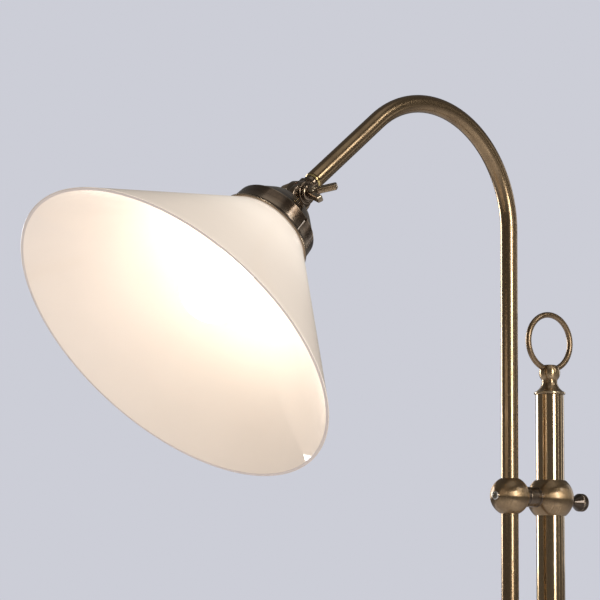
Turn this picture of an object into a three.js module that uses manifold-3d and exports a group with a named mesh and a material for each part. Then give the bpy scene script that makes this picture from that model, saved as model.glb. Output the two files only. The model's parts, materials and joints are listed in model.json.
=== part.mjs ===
// Pharmacy floor lamp: a weighted round base and a straight pole, with a thinner cord-carrying arm
// tube beside it. Two double-ball clamps slide and swing the arm on the pole. The arm bends over in
// a crook and ends in a wing-screw knuckle that carries a gallery, an E27 holder and a glass shade.
// Units are millimetres, +Z is up. The origin is on the floor, under the pole's axis. The arm
// reaches towards -X, and the crook lies in the XZ plane.
import * as THREE from 'three';
import Module from 'manifold-3d';
import * as BufferGeometryUtils from 'three/addons/utils/BufferGeometryUtils.js';

const wasm = await Module();
wasm.setup();

// ---- driving dimensions -----------------------------------------------------------------------
const GAP = 0.3;                  // clearance left between neighbouring pieces
const OVERCUT = 1;                // how far a cutter runs past the face it opens
const WELD = 1e-4;                // distance under which two vertices are one

const BASE_R = 125;               // round base cover
const BASE_TOP = 31;              // top of the cover, where the collar sits
const PAD_R = 120;                // felt pad under the base
const PAD_T = 3;

const POLE_R = 10;
const POLE_BORE_R = 9;
const POLE_FOOT = BASE_TOP + GAP; // the pole stands on the cover, inside the collar
const POLE_TOP = 1228;

const SPACING = 42;               // pole axis to arm tube axis
const ARM_R = 6;
const ARM_BORE_R = 5;
const ARM_FOOT = 634;             // lower end of the arm tube
const CLAMP_HEIGHTS = { upper: 1155, lower: 662 };
const BEND_START = 1341;          // the straight arm tube ends and the crook begins
const BEND_R = 78;
const BEND_STEPS = 18;
const BEND_ANGLE = THREE.MathUtils.degToRad(130.5);
const DROP_LENGTH = 75;           // straight run after the crook
const KNUCKLE_REACH = 14.6;       // from the tube's end to the tilt pivot
const KNUCKLE_TWIST = THREE.MathUtils.degToRad(8.8); // the knuckle is screwed home a little past square
const SHADE_DROOP = THREE.MathUtils.degToRad(45); // shade axis below the horizontal, at rest

const POLE_BALL_R = 16.5;
const ARM_BALL_R = 13.7;
const POLE_BALL_HALF = 12.4;      // half height between the flats where the pole passes
const ARM_BALL_HALF = 12.1;
const NECK_R = 7.1;
const STUD_R = 3.5;
const LINER_R = 11;
const LINER_HALF = 10.8;
const SCREW_DROP = 2.2;           // the thumbscrew sits a little under the ball's equator

const LUG_R = 7.6;                // the knuckle's two round lugs
const LUG_INNER = 0.8;            // from the knuckle's mid plane to a lug's inner face
const LUG_OUTER = 6.2;
const PIVOT_R = 2.5;
const STUB_R = 5.5;

// Down the shade's axis, heights are below the tilt pivot.
const DOME_TOP = -14.3;
const DOME_R = 8;                 // flat top of the dome
const BAND_TOP = -30.4;
const BAND_TOP_R = 29.2;
const LIP_FOOT = -44.5;
const LIP_R = 32.3;
const SLIT_W = 1.2;
const SLIT_COUNT = 3;
const SLIT_START = THREE.MathUtils.degToRad(-95);
const NECK_GLASS_R = 27.8;        // the glass's fitter neck, inside the gallery
const RIM_FOOT = -145;
const RIM_R = 113.6;
const GLASS_T = 3;
const RIM_FACE = 2.4;             // width of the ground face at the rim, where the glass has thinned
const BULB_R = 22.5;
const BULB_FOOT = -119;

const RING_R = 19.55;             // finial ring, to the middle of its wire
const RING_WIRE_R = 2.05;
const RING_RISE = 37.7;           // ring centre above the pole's top

const FINIAL_TURN = THREE.MathUtils.degToRad(-7); // the ring doesn't stop quite in line with the arm

// ---- finishes ---------------------------------------------------------------------------------
const ANTIQUE_BRASS = { color: 0x8a7350, roughness: 0.34, metalness: 1 };
const DARK_BRASS = { color: 0x4a3a2a, roughness: 0.42, metalness: 1 };
const BRIGHT_BRASS = { color: 0xc2a14e, roughness: 0.25, metalness: 1 };
const STEEL = { color: 0x8d8f90, roughness: 0.4, metalness: 1 };
const CAST_IRON = { color: 0x3b3c3d, roughness: 0.8, metalness: 0.6 };
const ALUMINIUM = { color: 0xb9bbbd, roughness: 0.35, metalness: 1 };
const FELT = { color: 0x232323, roughness: 1, metalness: 0 };
const NYLON = { color: 0xe6e2d6, roughness: 0.6, metalness: 0 };
const BLACK_PLASTIC = { color: 0x1b1b1b, roughness: 0.5, metalness: 0 };
const FIBRE = { color: 0x6b2f22, roughness: 0.9, metalness: 0 };
const PORCELAIN = { color: 0xefece4, roughness: 0.3, metalness: 0 };
const OPAL_GLASS = { color: 0xf2ebe0, roughness: 0.15, metalness: 0 };
const FROSTED_GLASS = { color: 0xfff4dc, roughness: 0.4, metalness: 0 };

// ---- geometry helpers -------------------------------------------------------------------------

// Merges shared vertices, drops triangles that have collapsed and turns the faces outwards.
function closed(source) {
  const bare = source.clone();
  bare.deleteAttribute('normal');
  bare.deleteAttribute('uv');
  const merged = BufferGeometryUtils.mergeVertices(bare, WELD);
  const position = merged.getAttribute('position');
  const faces = [];
  let volume = 0;
  const corner = [new THREE.Vector3(), new THREE.Vector3(), new THREE.Vector3()];
  for (let i = 0; i < merged.index.count; i += 3) {
    const face = [merged.index.getX(i), merged.index.getX(i + 1), merged.index.getX(i + 2)];
    if (new Set(face).size < 3) continue;
    face.forEach((vertex, k) => corner[k].fromBufferAttribute(position, vertex));
    volume += corner[0].dot(corner[1].clone().cross(corner[2]));
    faces.push(face);
  }
  if (volume < 0) faces.forEach((face) => face.reverse());
  merged.setIndex(faces.flat());
  return merged;
}

function toSolid(geometry) {
  const body = closed(geometry);
  const mesh = new wasm.Mesh({
    numProp: 3,
    vertProperties: new Float32Array(body.getAttribute('position').array),
    triVerts: new Uint32Array(body.index.array),
  });
  return new wasm.Manifold(mesh);
}

function fromSolid(solid) {
  const mesh = solid.getMesh();
  const geometry = new THREE.BufferGeometry();
  geometry.setAttribute('position', new THREE.BufferAttribute(mesh.vertProperties, 3));
  geometry.setIndex(new THREE.BufferAttribute(mesh.triVerts, 1));
  return geometry;
}

function join(...geometries) {
  return fromSolid(geometries.map(toSolid).reduce((whole, piece) => whole.add(piece)));
}

function cut(body, ...cutters) {
  return fromSolid(cutters.map(toSolid).reduce((whole, cutter) => whole.subtract(cutter), toSolid(body)));
}

// Turns a profile of [radius, height] points about Z. A profile that leaves the axis closes on itself.
function turned(profile, segments) {
  const points = profile.map(([radius, height]) => new THREE.Vector2(radius, height));
  const first = points[0];
  const last = points[points.length - 1];
  if (first.x > 0 || last.x > 0) points.push(first.clone());
  return new THREE.LatheGeometry(points, segments).rotateX(Math.PI / 2);
}

function rod(radius, low, high, segments = 20) {
  return turned([[0, low], [radius, low], [radius, high], [0, high]], segments);
}

function sleeve(inner, outer, low, high, segments = 20) {
  return turned([[inner, low], [outer, low], [outer, high], [inner, high]], segments);
}

function box(width, depth, height, x, y, z) {
  return new THREE.BoxGeometry(width, depth, height).translate(x, y, z);
}

function alongX(geometry) {
  return geometry.rotateY(Math.PI / 2);
}

function alongY(geometry) {
  return geometry.rotateX(-Math.PI / 2);
}

// Points of an arc in a [radius, height] profile, both ends included.
function arc(centreR, centreZ, radius, from, to, steps) {
  return Array.from({ length: steps + 1 }, (_, i) => {
    const angle = THREE.MathUtils.degToRad(from + (to - from) * (i / steps));
    return [centreR + radius * Math.cos(angle), centreZ + radius * Math.sin(angle)];
  });
}

// A regular prism about Z: hexagon heads and nuts.
function hexagon(acrossFlats, low, high) {
  const radius = acrossFlats / Math.sqrt(3);
  return new THREE.CylinderGeometry(radius, radius, high - low, 6).rotateX(Math.PI / 2)
    .translate(0, 0, (low + high) / 2);
}

function circle(radius, sides) {
  const points = Array.from({ length: sides }, (_, i) => {
    const angle = (i / sides) * Math.PI * 2;
    return new THREE.Vector2(radius * Math.cos(angle), radius * Math.sin(angle));
  });
  return points;
}

function part(name, geometry, finish) {
  const shape = closed(geometry);
  shape.computeVertexNormals();
  const mesh = new THREE.Mesh(shape, new THREE.MeshStandardMaterial({ ...finish }));
  mesh.name = name;
  return mesh;
}

function group(...children) {
  const holder = new THREE.Group();
  holder.add(...children);
  return holder;
}

// ---- base and pole ----------------------------------------------------------------------------

// The cover's broad dome: it rises from the step near the edge to the foot of the centre boss.
function coverDome(inset) {
  const steps = 4;
  return Array.from({ length: steps + 1 }, (_, i) => {
    const share = i / steps;
    return [THREE.MathUtils.lerp(BASE_R - 13 - inset, 46 - inset, share),
      14.6 - inset + 8.4 * Math.sin(share * Math.PI / 2)];
  });
}

function baseCover() {
  const skin = 1.3;
  const outer = [
    [BASE_R, 1.2], [BASE_R, 6], ...arc(BASE_R - 4, 6, 4, 30, 90, 2), [BASE_R - 11, 10.4], ...coverDome(0),
    [44.6, 26], [33, 28], [28, BASE_TOP], [POLE_BORE_R, BASE_TOP],
  ];
  const inner = [
    [POLE_BORE_R, BASE_TOP - skin], [27.4, BASE_TOP - skin], [32.2, 26.8], [43.4, 24.8],
    ...coverDome(skin).reverse(), [BASE_R - 12.4, 9], [BASE_R - 4.6, 8.7], [BASE_R - skin, 6],
    [BASE_R - skin, 1.2],
  ];
  return turned([...outer, ...inner], 28);
}

function baseParts() {
  const weight = turned([
    [0, 13.5], [22, 13.5], [22, PAD_T + GAP], [PAD_R - 4, PAD_T + GAP], [PAD_R - 4, 7.6],
    [PAD_R - 10, 8.2], [104, 12], [44, 19], [0, 19],
  ], 32);
  const boltHole = rod(5.3, 0, 40);
  const bolt = join(hexagon(16, 4.4, 10.6), rod(5, 10, 58));
  const plug = cut(rod(POLE_BORE_R - GAP, POLE_FOOT, POLE_FOOT + 30), rod(5.3, POLE_FOOT - OVERCUT, 60));
  const collar = turned([
    [POLE_R + GAP, BASE_TOP + GAP], [24, BASE_TOP + GAP], [24, 33.4], ...arc(21, 36.6, 3.4, -50, 60, 3),
    [18, 42], [14.6, 46], [13.6, 50], ...arc(13, 52.6, 2.6, -80, 80, 4), [POLE_R + GAP, 55.2],
  ], 24);
  return [
    part('base_pad', rod(PAD_R, 0, PAD_T, 48), FELT),
    part('base_weight', cut(weight, boltHole), CAST_IRON),
    part('base_cover', baseCover(), ANTIQUE_BRASS),
    part('base_washer', sleeve(5.3, 15, 10.9, 13.2), STEEL),
    part('base_bolt', bolt, STEEL),
    part('base_collar', collar, ANTIQUE_BRASS),
    part('pole_plug', plug, STEEL),
  ];
}

function finial() {
  const neck = [[POLE_BORE_R - GAP, -14], [POLE_BORE_R - GAP, GAP], [11, GAP], [11, 2], [9.8, 2.7]];
  const flare = [[8, 4], [6.6, 5.6], [5.7, 7.2], [5.3, 8.8], [5.5, 10.2]];
  const ball = arc(0, 15.6, 7.5, -42, 48, 6);
  const body = turned([[0, -14], ...neck, ...flare, ...ball, [3.2, 21.4], [0, 21.5]], 20);
  const ringSeat = new THREE.TorusGeometry(RING_R, RING_WIRE_R + GAP, 8, 32).rotateX(Math.PI / 2);
  return cut(body, ringSeat.translate(0, 0, RING_RISE));
}

function poleParts() {
  const ring = new THREE.TorusGeometry(RING_R, RING_WIRE_R, 8, 32).rotateX(Math.PI / 2);
  const top = group(
    part('finial', finial(), ANTIQUE_BRASS),
    part('finial_ring', ring.translate(0, 0, RING_RISE), ANTIQUE_BRASS),
  );
  top.position.z = POLE_TOP;
  top.rotation.z = FINIAL_TURN;
  return [part('pole', sleeve(POLE_BORE_R, POLE_R, POLE_FOOT, POLE_TOP, 28), ANTIQUE_BRASS), top];
}

// ---- double-ball clamps -----------------------------------------------------------------------

// A ball with a bore along Z and flats where the tube passes. lip is the bore at the two ends.
function boredBall(radius, half, lip, bore, boreHalf) {
  const edge = THREE.MathUtils.radToDeg(Math.asin(half / radius));
  const outside = arc(0, 0, radius, -edge, edge, 6);
  const inside = bore > lip
    ? [[lip, half], [lip, boreHalf], [bore, boreHalf], [bore, -boreHalf], [lip, -boreHalf], [lip, -half]]
    : [[lip, half], [lip, -half]];
  return turned([...outside, ...inside], 24);
}

function poleBall() {
  const ball = boredBall(POLE_BALL_R, POLE_BALL_HALF, POLE_R + 0.4, LINER_R + GAP, LINER_HALF + GAP);
  const studHole = alongX(rod(STUD_R + GAP, -POLE_BALL_R - OVERCUT, -POLE_R, 16));
  const screwHole = alongX(rod(PIVOT_R + GAP, POLE_R, POLE_BALL_R + OVERCUT, 16));
  screwHole.translate(0, 0, -SCREW_DROP);
  return cut(ball, studHole, screwHole);
}

function armBall() {
  const ball = boredBall(ARM_BALL_R, ARM_BALL_HALF, ARM_R + GAP, 0, 0);
  const studHole = alongX(rod(STUD_R + GAP, ARM_R, ARM_BALL_R + OVERCUT, 16));
  const grubHole = alongX(rod(2.8 + GAP, -ARM_BALL_R - OVERCUT, -ARM_R, 16));
  return cut(ball, studHole, grubHole).translate(-SPACING, 0, 0);
}

// The neck between the balls: a turned barrel, hollowed to sit on both, with a stud into each.
function clampNeck() {
  const barrel = alongX(rod(NECK_R, -33, -11, 20));
  const seats = [
    new THREE.SphereGeometry(ARM_BALL_R + 2 * GAP, 24, 12).translate(-SPACING, 0, 0),
    new THREE.SphereGeometry(POLE_BALL_R + 2 * GAP, 24, 12),
  ];
  const stud = alongX(rod(STUD_R, -SPACING + ARM_R + 2 * GAP, -LINER_R - 2 * GAP, 16));
  return join(cut(barrel, ...seats), stud);
}

function grubScrew() {
  const screw = alongX(rod(2.8, -ARM_BALL_R - 1.6, -ARM_R - 2 * GAP, 14));
  const socket = alongX(hexagon(2.7, -ARM_BALL_R - 1.6 - OVERCUT, -ARM_BALL_R + 1.4));
  return cut(screw, socket).translate(-SPACING, 0, 0);
}

function thumbscrew() {
  const shape = [
    [0, LINER_R + GAP], [PIVOT_R, LINER_R + GAP], [PIVOT_R, 17.2], [2, 17.8], [2, 24],
    [6.3, 30.4], [6.4, 34.2], [5.4, 35.4], [0, 36],
  ];
  return alongX(turned(shape, 24)).translate(0, 0, -SCREW_DROP);
}

function clamp(place) {
  const holder = group(
    part(`${place}_pole_ball`, poleBall(), ANTIQUE_BRASS),
    part(`${place}_arm_ball`, armBall(), ANTIQUE_BRASS),
    part(`${place}_neck`, clampNeck(), ANTIQUE_BRASS),
    part(`${place}_grub_screw`, grubScrew(), STEEL),
    part(`${place}_liner`, sleeve(POLE_R + GAP, LINER_R, -LINER_HALF, LINER_HALF, 20), NYLON),
    part(`${place}_thumbscrew`, thumbscrew(), DARK_BRASS),
  );
  holder.position.z = CLAMP_HEIGHTS[place];
  return holder;
}

// ---- arm tube ---------------------------------------------------------------------------------

// The arm's centreline. One step covers each straight run and the rest share the crook.
class ArmPath extends THREE.Curve {
  constructor(bendSteps) {
    super();
    this.steps = bendSteps + 2;
    this.bendCentre = new THREE.Vector3(-SPACING - BEND_R, 0, BEND_START);
  }

  onBend(angle) {
    const spoke = new THREE.Vector3(Math.cos(angle), 0, Math.sin(angle));
    return spoke.multiplyScalar(BEND_R).add(this.bendCentre);
  }

  getPoint(t) {
    const step = t * this.steps;
    if (step < 1) return new THREE.Vector3(-SPACING, 0, THREE.MathUtils.lerp(ARM_FOOT, BEND_START, step));
    const turn = Math.min((step - 1) / (this.steps - 2), 1);
    const point = this.onBend(turn * BEND_ANGLE);
    if (turn < 1) return point;
    const run = (step - this.steps + 1) * DROP_LENGTH;
    return point.add(new THREE.Vector3(-Math.sin(BEND_ANGLE), 0, Math.cos(BEND_ANGLE)).multiplyScalar(run));
  }

  getTangent(t) {
    const turn = THREE.MathUtils.clamp((t * this.steps - 1) / (this.steps - 2), 0, 1) * BEND_ANGLE;
    return new THREE.Vector3(-Math.sin(turn), 0, Math.cos(turn));
  }

  getUtoTmapping(u) {
    return u;
  }
}

function armTube() {
  const path = new ArmPath(BEND_STEPS);
  const section = new THREE.Shape(circle(ARM_R, 18));
  section.holes.push(new THREE.Path(circle(ARM_BORE_R, 10)));
  return new THREE.ExtrudeGeometry(section, { steps: path.steps, extrudePath: path });
}

function tiltPivot() {
  const end = new ArmPath(BEND_STEPS).getPoint(1);
  const reach = new THREE.Vector3(-Math.sin(BEND_ANGLE), 0, Math.cos(BEND_ANGLE));
  return end.addScaledVector(reach, KNUCKLE_REACH);
}

function armParts() {
  const bush = turned([
    [3.2, ARM_FOOT - 4.5], [6.4, ARM_FOOT - 4.5], [7.2, ARM_FOOT - 3], [7.2, ARM_FOOT - GAP],
    [ARM_BORE_R - 0.5, ARM_FOOT - GAP], [ARM_BORE_R - 0.5, ARM_FOOT + 16], [3.2, ARM_FOOT + 16],
  ], 20);
  return [
    part('arm_tube', armTube(), ANTIQUE_BRASS),
    part('cord_bush', bush.translate(-SPACING, 0, 0), BLACK_PLASTIC),
  ];
}

// ---- knuckle ----------------------------------------------------------------------------------

// The web that carries a lug, as an outline of its right half: out from the axis and along the neck.
const ARM_WEB = [[4.6, 1], [4.6, 10.4]];
const SHADE_WEB = [[7.5, 0.6], [9, 3.6], [9.3, 6.6], [8.4, 10], [6.4, 12]];

// One half of the knuckle, with its neck along +Z and its round lug on the +Y side.
function knuckleHalf(neckTop, neckR, rightHalf) {
  const lug = alongY(rod(LUG_R, LUG_INNER, LUG_OUTER, 32));
  const leftHalf = rightHalf.map(([x, z]) => [-x, z]).reverse();
  const outline = new THREE.Shape([...rightHalf, ...leftHalf].map(([x, z]) => new THREE.Vector2(x, z)));
  const plate = new THREE.ExtrudeGeometry(outline, { depth: LUG_OUTER - LUG_INNER, bevelEnabled: false });
  const web = plate.rotateX(Math.PI / 2).translate(0, LUG_OUTER, 0);
  const neck = rod(neckR, LUG_R + 0.7, neckTop, 24);
  const bore = alongY(rod(PIVOT_R + GAP, -OVERCUT, LUG_OUTER + OVERCUT, 16));
  return cut(join(lug, web, neck), bore);
}

function armKnuckle() {
  const neckTop = KNUCKLE_REACH - 2.3;
  const spigot = rod(ARM_BORE_R - 2 * GAP, neckTop - 1, KNUCKLE_REACH + 12, 20);
  const wireWay = rod(2.6, LUG_R, KNUCKLE_REACH + 12 + OVERCUT, 12);
  return cut(join(knuckleHalf(neckTop, STUB_R - 0.3, ARM_WEB), spigot), wireWay);
}

function knuckleNut() {
  return alongY(turned([
    [PIVOT_R + GAP, LUG_OUTER + GAP], [6.9, LUG_OUTER + GAP], [6.7, 7.6], [4.9, 14.6], [4, 15.4],
    [PIVOT_R + GAP, 15.4],
  ], 24));
}

// The wing screw: shank through both lugs, a stepped hub and two ears splayed in a V.
function wingScrew() {
  const shank = alongY(rod(PIVOT_R, -7, 14.9, 16));
  const hub = alongY(turned([
    [0, -6.5], [4.8, -6.5], [4.8, -7.2], [3.6, -7.8], [3.6, -9.4], [4.6, -9.8], [4.6, -12.6],
    [3.4, -13.8], [0, -13.8],
  ], 24));
  const ear = new THREE.Shape();
  ear.moveTo(1.2, -10.4);
  ear.lineTo(4.2, -10.4);
  ear.lineTo(10.2, -23);
  ear.lineTo(6.9, -24.6);
  ear.lineTo(1.2, -13.2);
  const shape = { depth: 3.4, bevelEnabled: true, bevelThickness: 0.5, bevelSize: 0.4, bevelSegments: 1 };
  const right = new THREE.ExtrudeGeometry(ear, shape).translate(0, 0, -1.7);
  const left = right.clone().rotateY(Math.PI);
  return join(shank, hub, right, left);
}

// The half that the arm tube holds, with its ferrule, in line with the tube's end.
function armHalfParts() {
  const armHalf = group(part('arm_knuckle', armKnuckle(), DARK_BRASS));
  const ferrule = turned([
    [ARM_BORE_R - GAP, KNUCKLE_REACH - 2], [5.5, KNUCKLE_REACH - 2], [5.7, KNUCKLE_REACH - 1.2],
    [5.5, KNUCKLE_REACH - GAP], [ARM_BORE_R - GAP, KNUCKLE_REACH - GAP],
  ], 24);
  armHalf.add(part('tube_ferrule', ferrule, BRIGHT_BRASS));
  armHalf.rotation.y = Math.PI - BEND_ANGLE;
  armHalf.rotateZ(KNUCKLE_TWIST);
  return armHalf;
}

function knuckleParts() {
  const screw = group(part('wing_screw', wingScrew(), ANTIQUE_BRASS));
  screw.rotation.y = THREE.MathUtils.degToRad(-36);
  const washer = alongY(sleeve(PIVOT_R + GAP, 7, -LUG_INNER + GAP, LUG_INNER - GAP));
  return [
    screw,
    part('knuckle_washer', washer, FIBRE),
    part('knuckle_nut', knuckleNut(), ANTIQUE_BRASS),
  ];
}

// ---- shade, gallery and holder ----------------------------------------------------------------

function shadeKnuckle() {
  const half = knuckleHalf(-DOME_TOP - GAP, STUB_R, SHADE_WEB).rotateX(Math.PI);
  return cut(half, rod(4 + GAP, DOME_TOP - OVERCUT, -10, 16));
}

function gallery() {
  const skin = 0.9;
  const bandFoot = LIP_FOOT + 2.8;
  const dome = [[DOME_R, DOME_TOP], [13.4, -15], [18, -17.2], [23.2, -23.4], [27.6, BAND_TOP + 1.4]];
  const inside = dome.map(([r, z]) => [r - skin / 2, z - skin]);
  const profile = [
    [4 + GAP, DOME_TOP], ...dome, [BAND_TOP_R, BAND_TOP], [30.3, bandFoot],
    [31.4, LIP_FOOT + 1.3], [LIP_R, LIP_FOOT + 0.9], [LIP_R, LIP_FOOT], [30.6, LIP_FOOT + 0.2],
    [30.3 - skin, bandFoot - 0.2], [BAND_TOP_R - skin, BAND_TOP - 0.4], ...inside.reverse(),
    [4 + GAP, DOME_TOP - skin],
  ];
  const slits = Array.from({ length: SLIT_COUNT }, (_, i) => {
    const slit = box(8, SLIT_W, 16, LIP_R, 0, LIP_FOOT + 6.3);
    return slit.rotateZ(SLIT_START + (i / SLIT_COUNT) * Math.PI * 2);
  });
  return cut(turned(profile, 28), ...slits);
}

// The glass: a short fitter neck with a bead, then a straight cone that thins down to a ground rim.
function glassShade() {
  const coneTop = LIP_FOOT - 1.5;
  const slope = Math.atan2(RIM_R - 32, coneTop - RIM_FOOT);
  const wall = GLASS_T / Math.cos(slope);
  const outside = [
    [NECK_GLASS_R - 0.6, -31], [NECK_GLASS_R, -31.8], [NECK_GLASS_R, -40.6], [NECK_GLASS_R + 0.6, -43.2],
    [NECK_GLASS_R + 2, -45.2], [32.4, coneTop - 0.5], [RIM_R, RIM_FOOT + 0.6], [RIM_R - 0.5, RIM_FOOT],
  ];
  const inside = [
    [RIM_R - RIM_FACE, RIM_FOOT], [RIM_R - RIM_FACE - 0.5, RIM_FOOT + 0.6], [32 - wall, coneTop - 1],
    [NECK_GLASS_R - 2.4, -43.4], [NECK_GLASS_R - GLASS_T, -40.6], [NECK_GLASS_R - GLASS_T, -31],
  ];
  return turned([...outside, ...inside], 36);
}

function holderParts() {
  const cap = turned([
    [4 + GAP, -19], [9, -19], ...arc(12.5, -25, 6, 90, 8, 3), [19, -25.4], [19, -31], [17.8, -31],
    [17.8, -25.6], [12.5, -20.2], [4 + GAP, -20.2],
  ], 20);
  const body = turned([
    [16.2, -31.3], [19.4, -31.3], [19.4, -36], [18.6, -37], [18.6, -63], [19.4, -64], [19.4, -66],
    [16.6, -66], [16.6, -36], [16.2, -35.6],
  ], 20);
  return [
    part('gallery_nut', cut(hexagon(13, -18.6, -15.6), rod(4 + GAP, -20, -15, 16)), STEEL),
    part('nipple', sleeve(3, 4, -26, -10.4, 16), STEEL),
    part('holder_cap', cap, BRIGHT_BRASS),
    part('holder_insert', rod(15.8, -35.4, -29, 24), PORCELAIN),
    part('holder_contact', rod(3, -38.2, -35.7, 12), BRIGHT_BRASS),
    part('holder_thread', sleeve(13.9, 14.7, -63, -38, 24), BRIGHT_BRASS),
    part('holder_body', body, BLACK_PLASTIC),
  ];
}

function bulbParts() {
  const capTop = -38.5;
  const neckR = 12.6;
  const cap = turned([
    [0, -40.5], [0, capTop], [4.6, capTop], [5.4, -39.4], [11, -42.2], [13.4, -44], [13.4, -65],
    [12.9, -65.5], [12.9, -66.2], [0, -66.2],
  ], 24);
  const centre = BULB_FOOT + BULB_R;
  const start = THREE.MathUtils.radToDeg(Math.acos(17 / BULB_R));
  const outside = arc(0, centre, BULB_R, start, -90, 6);
  const skin = 1;
  const inside = arc(0, centre, BULB_R - skin, -90, start, 6);
  const glass = turned([
    [neckR, -66.5], [neckR, -72], [14, -77], ...outside, ...inside, [14 - skin, -77], [neckR - skin, -72],
    [neckR - skin, -66.5],
  ], 18);
  return [part('bulb_cap', cap, ALUMINIUM), part('bulb_glass', glass, FROSTED_GLASS)];
}

function shadeParts() {
  const head = group(
    part('shade_knuckle', shadeKnuckle(), DARK_BRASS),
    part('gallery', gallery(), DARK_BRASS),
    part('glass_shade', glassShade(), OPAL_GLASS),
    ...holderParts(),
    ...bulbParts(),
  );
  head.rotation.y = Math.PI / 2 - SHADE_DROOP;
  return head;
}

// ---- assembly ---------------------------------------------------------------------------------

const head = group(...knuckleParts(), shadeParts());
const tubeEnd = new THREE.Vector3(Math.sin(BEND_ANGLE), 0, -Math.cos(BEND_ANGLE));
head.quaternion.setFromAxisAngle(tubeEnd, KNUCKLE_TWIST);
head.position.copy(tiltPivot());
const armHalf = armHalfParts();
armHalf.position.copy(tiltPivot());

const lamp = group(
  ...baseParts(),
  ...poleParts(),
  ...Object.keys(CLAMP_HEIGHTS).map(clamp),
  ...armParts(),
  armHalf,
  head,
);

export default lamp;
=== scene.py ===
"""Looks of the pharmacy floor lamp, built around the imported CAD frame. Profiles are in millimetres."""
import json
import math

import bmesh
import bpy
from mathutils import Matrix, Vector


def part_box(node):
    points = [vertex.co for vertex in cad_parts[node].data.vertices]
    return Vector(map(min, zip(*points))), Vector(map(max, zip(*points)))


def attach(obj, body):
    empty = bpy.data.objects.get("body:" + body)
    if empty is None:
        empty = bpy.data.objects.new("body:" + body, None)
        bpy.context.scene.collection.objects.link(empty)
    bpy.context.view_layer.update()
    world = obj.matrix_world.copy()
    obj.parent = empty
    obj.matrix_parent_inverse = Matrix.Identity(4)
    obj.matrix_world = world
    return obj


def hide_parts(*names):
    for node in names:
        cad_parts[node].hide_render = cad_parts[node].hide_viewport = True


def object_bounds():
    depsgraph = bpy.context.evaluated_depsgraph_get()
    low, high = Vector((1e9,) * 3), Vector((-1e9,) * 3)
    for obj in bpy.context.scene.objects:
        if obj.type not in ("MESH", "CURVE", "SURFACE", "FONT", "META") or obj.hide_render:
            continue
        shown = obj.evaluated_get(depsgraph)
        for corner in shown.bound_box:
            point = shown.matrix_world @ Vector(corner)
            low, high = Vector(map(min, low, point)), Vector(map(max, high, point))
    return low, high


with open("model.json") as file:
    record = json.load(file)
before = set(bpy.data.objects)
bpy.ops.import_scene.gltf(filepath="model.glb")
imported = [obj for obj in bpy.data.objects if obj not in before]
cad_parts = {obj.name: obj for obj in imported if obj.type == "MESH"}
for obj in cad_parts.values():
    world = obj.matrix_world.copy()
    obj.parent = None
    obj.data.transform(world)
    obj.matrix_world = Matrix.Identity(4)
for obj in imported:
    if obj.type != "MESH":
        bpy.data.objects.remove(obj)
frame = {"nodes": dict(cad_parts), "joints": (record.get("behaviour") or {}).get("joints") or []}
cad_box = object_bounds()

MM = 0.001
CLEAR = 0.3                     # gap that neighbouring pieces keep, as in the CAD
TUBE_WALL = 1
FLUSH = 1e-9                    # a side shorter than this has no corner to round
SMOOTH_ANGLE = 32               # degrees; a sharper meeting of two faces is shaded as an edge
BEVEL_ANGLE = 35                # degrees; a sharper edge is rounded off
BEYOND = 30                     # how far a cutter runs, well past the piece it cuts

# ---- places, all from the frame ----------------------------------------------------------------
joints = {joint["name"]: joint for joint in frame["joints"]}
PIVOT = Vector(joints["shade_tilt"]["pos_m"])
POLE_LOW, POLE_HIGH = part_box("pole")
ARM_LOW, ARM_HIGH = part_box("arm_tube")
BASE_LOW, BASE_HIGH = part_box("base_cover")
COLLAR_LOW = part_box("base_collar")[0]
RING_LOW, RING_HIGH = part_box("finial_ring")

POLE_R = (POLE_HIGH.x - POLE_LOW.x) / 2 / MM
ARM_R = (ARM_HIGH.y - ARM_LOW.y) / 2 / MM
ARM_X = ARM_HIGH.x - ARM_R * MM
BASE_R = (BASE_HIGH.x - BASE_LOW.x) / 2 / MM

BEND_R = 78                     # radius of the crook's centre line
BEND_ANGLE = math.radians(130.5)
DROP_LENGTH = 75                # straight run of the arm tube from the crook to its end
SHADE_DROOP = math.radians(45)  # from straight down
KNUCKLE_REACH = 14.6            # from the pivot to the end of the arm tube
BEND_Z = ARM_HIGH.z - (BEND_R + ARM_R) * MM

TILT_AXIS = Vector(joints["shade_tilt"]["axis"])
TUBE_END = Vector((math.sin(BEND_ANGLE), 0, -math.cos(BEND_ANGLE)))
KNUCKLE_TWIST = math.copysign(Vector((0, 1, 0)).angle(TILT_AXIS), TILT_AXIS.z)
PIVOT_FRAME = Matrix.Translation(PIVOT) @ Matrix.Rotation(KNUCKLE_TWIST, 4, TUBE_END)
SHADE_FRAME = PIVOT_FRAME @ Matrix.Rotation(math.pi / 2 - SHADE_DROOP, 4, "Y")
ARM_END_FRAME = PIVOT_FRAME @ Matrix.Rotation(math.pi - BEND_ANGLE, 4, "Y")
FINIAL_TURN = math.radians(-7)
POLE_TOP_FRAME = Matrix.Translation((0, 0, POLE_HIGH.z)) @ Matrix.Rotation(FINIAL_TURN, 4, "Z")
ALONG_X = Matrix.Rotation(math.pi / 2, 4, "Y")
ALONG_Y = Matrix.Rotation(-math.pi / 2, 4, "X")
AWAY_Y = Matrix.Rotation(math.pi / 2, 4, "X")


def mid_height(node):
    low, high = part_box(node)
    return (low.z + high.z) / 2


# ---- profiles ----------------------------------------------------------------------------------

def arc(centre_r, centre_z, radius, start, end, steps=16):
    """Points of a round stretch of a profile, from start to end degrees."""
    angles = [math.radians(start + (end - start) * i / steps) for i in range(steps + 1)]
    return [(centre_r + radius * math.cos(a), centre_z + radius * math.sin(a)) for a in angles]


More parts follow.
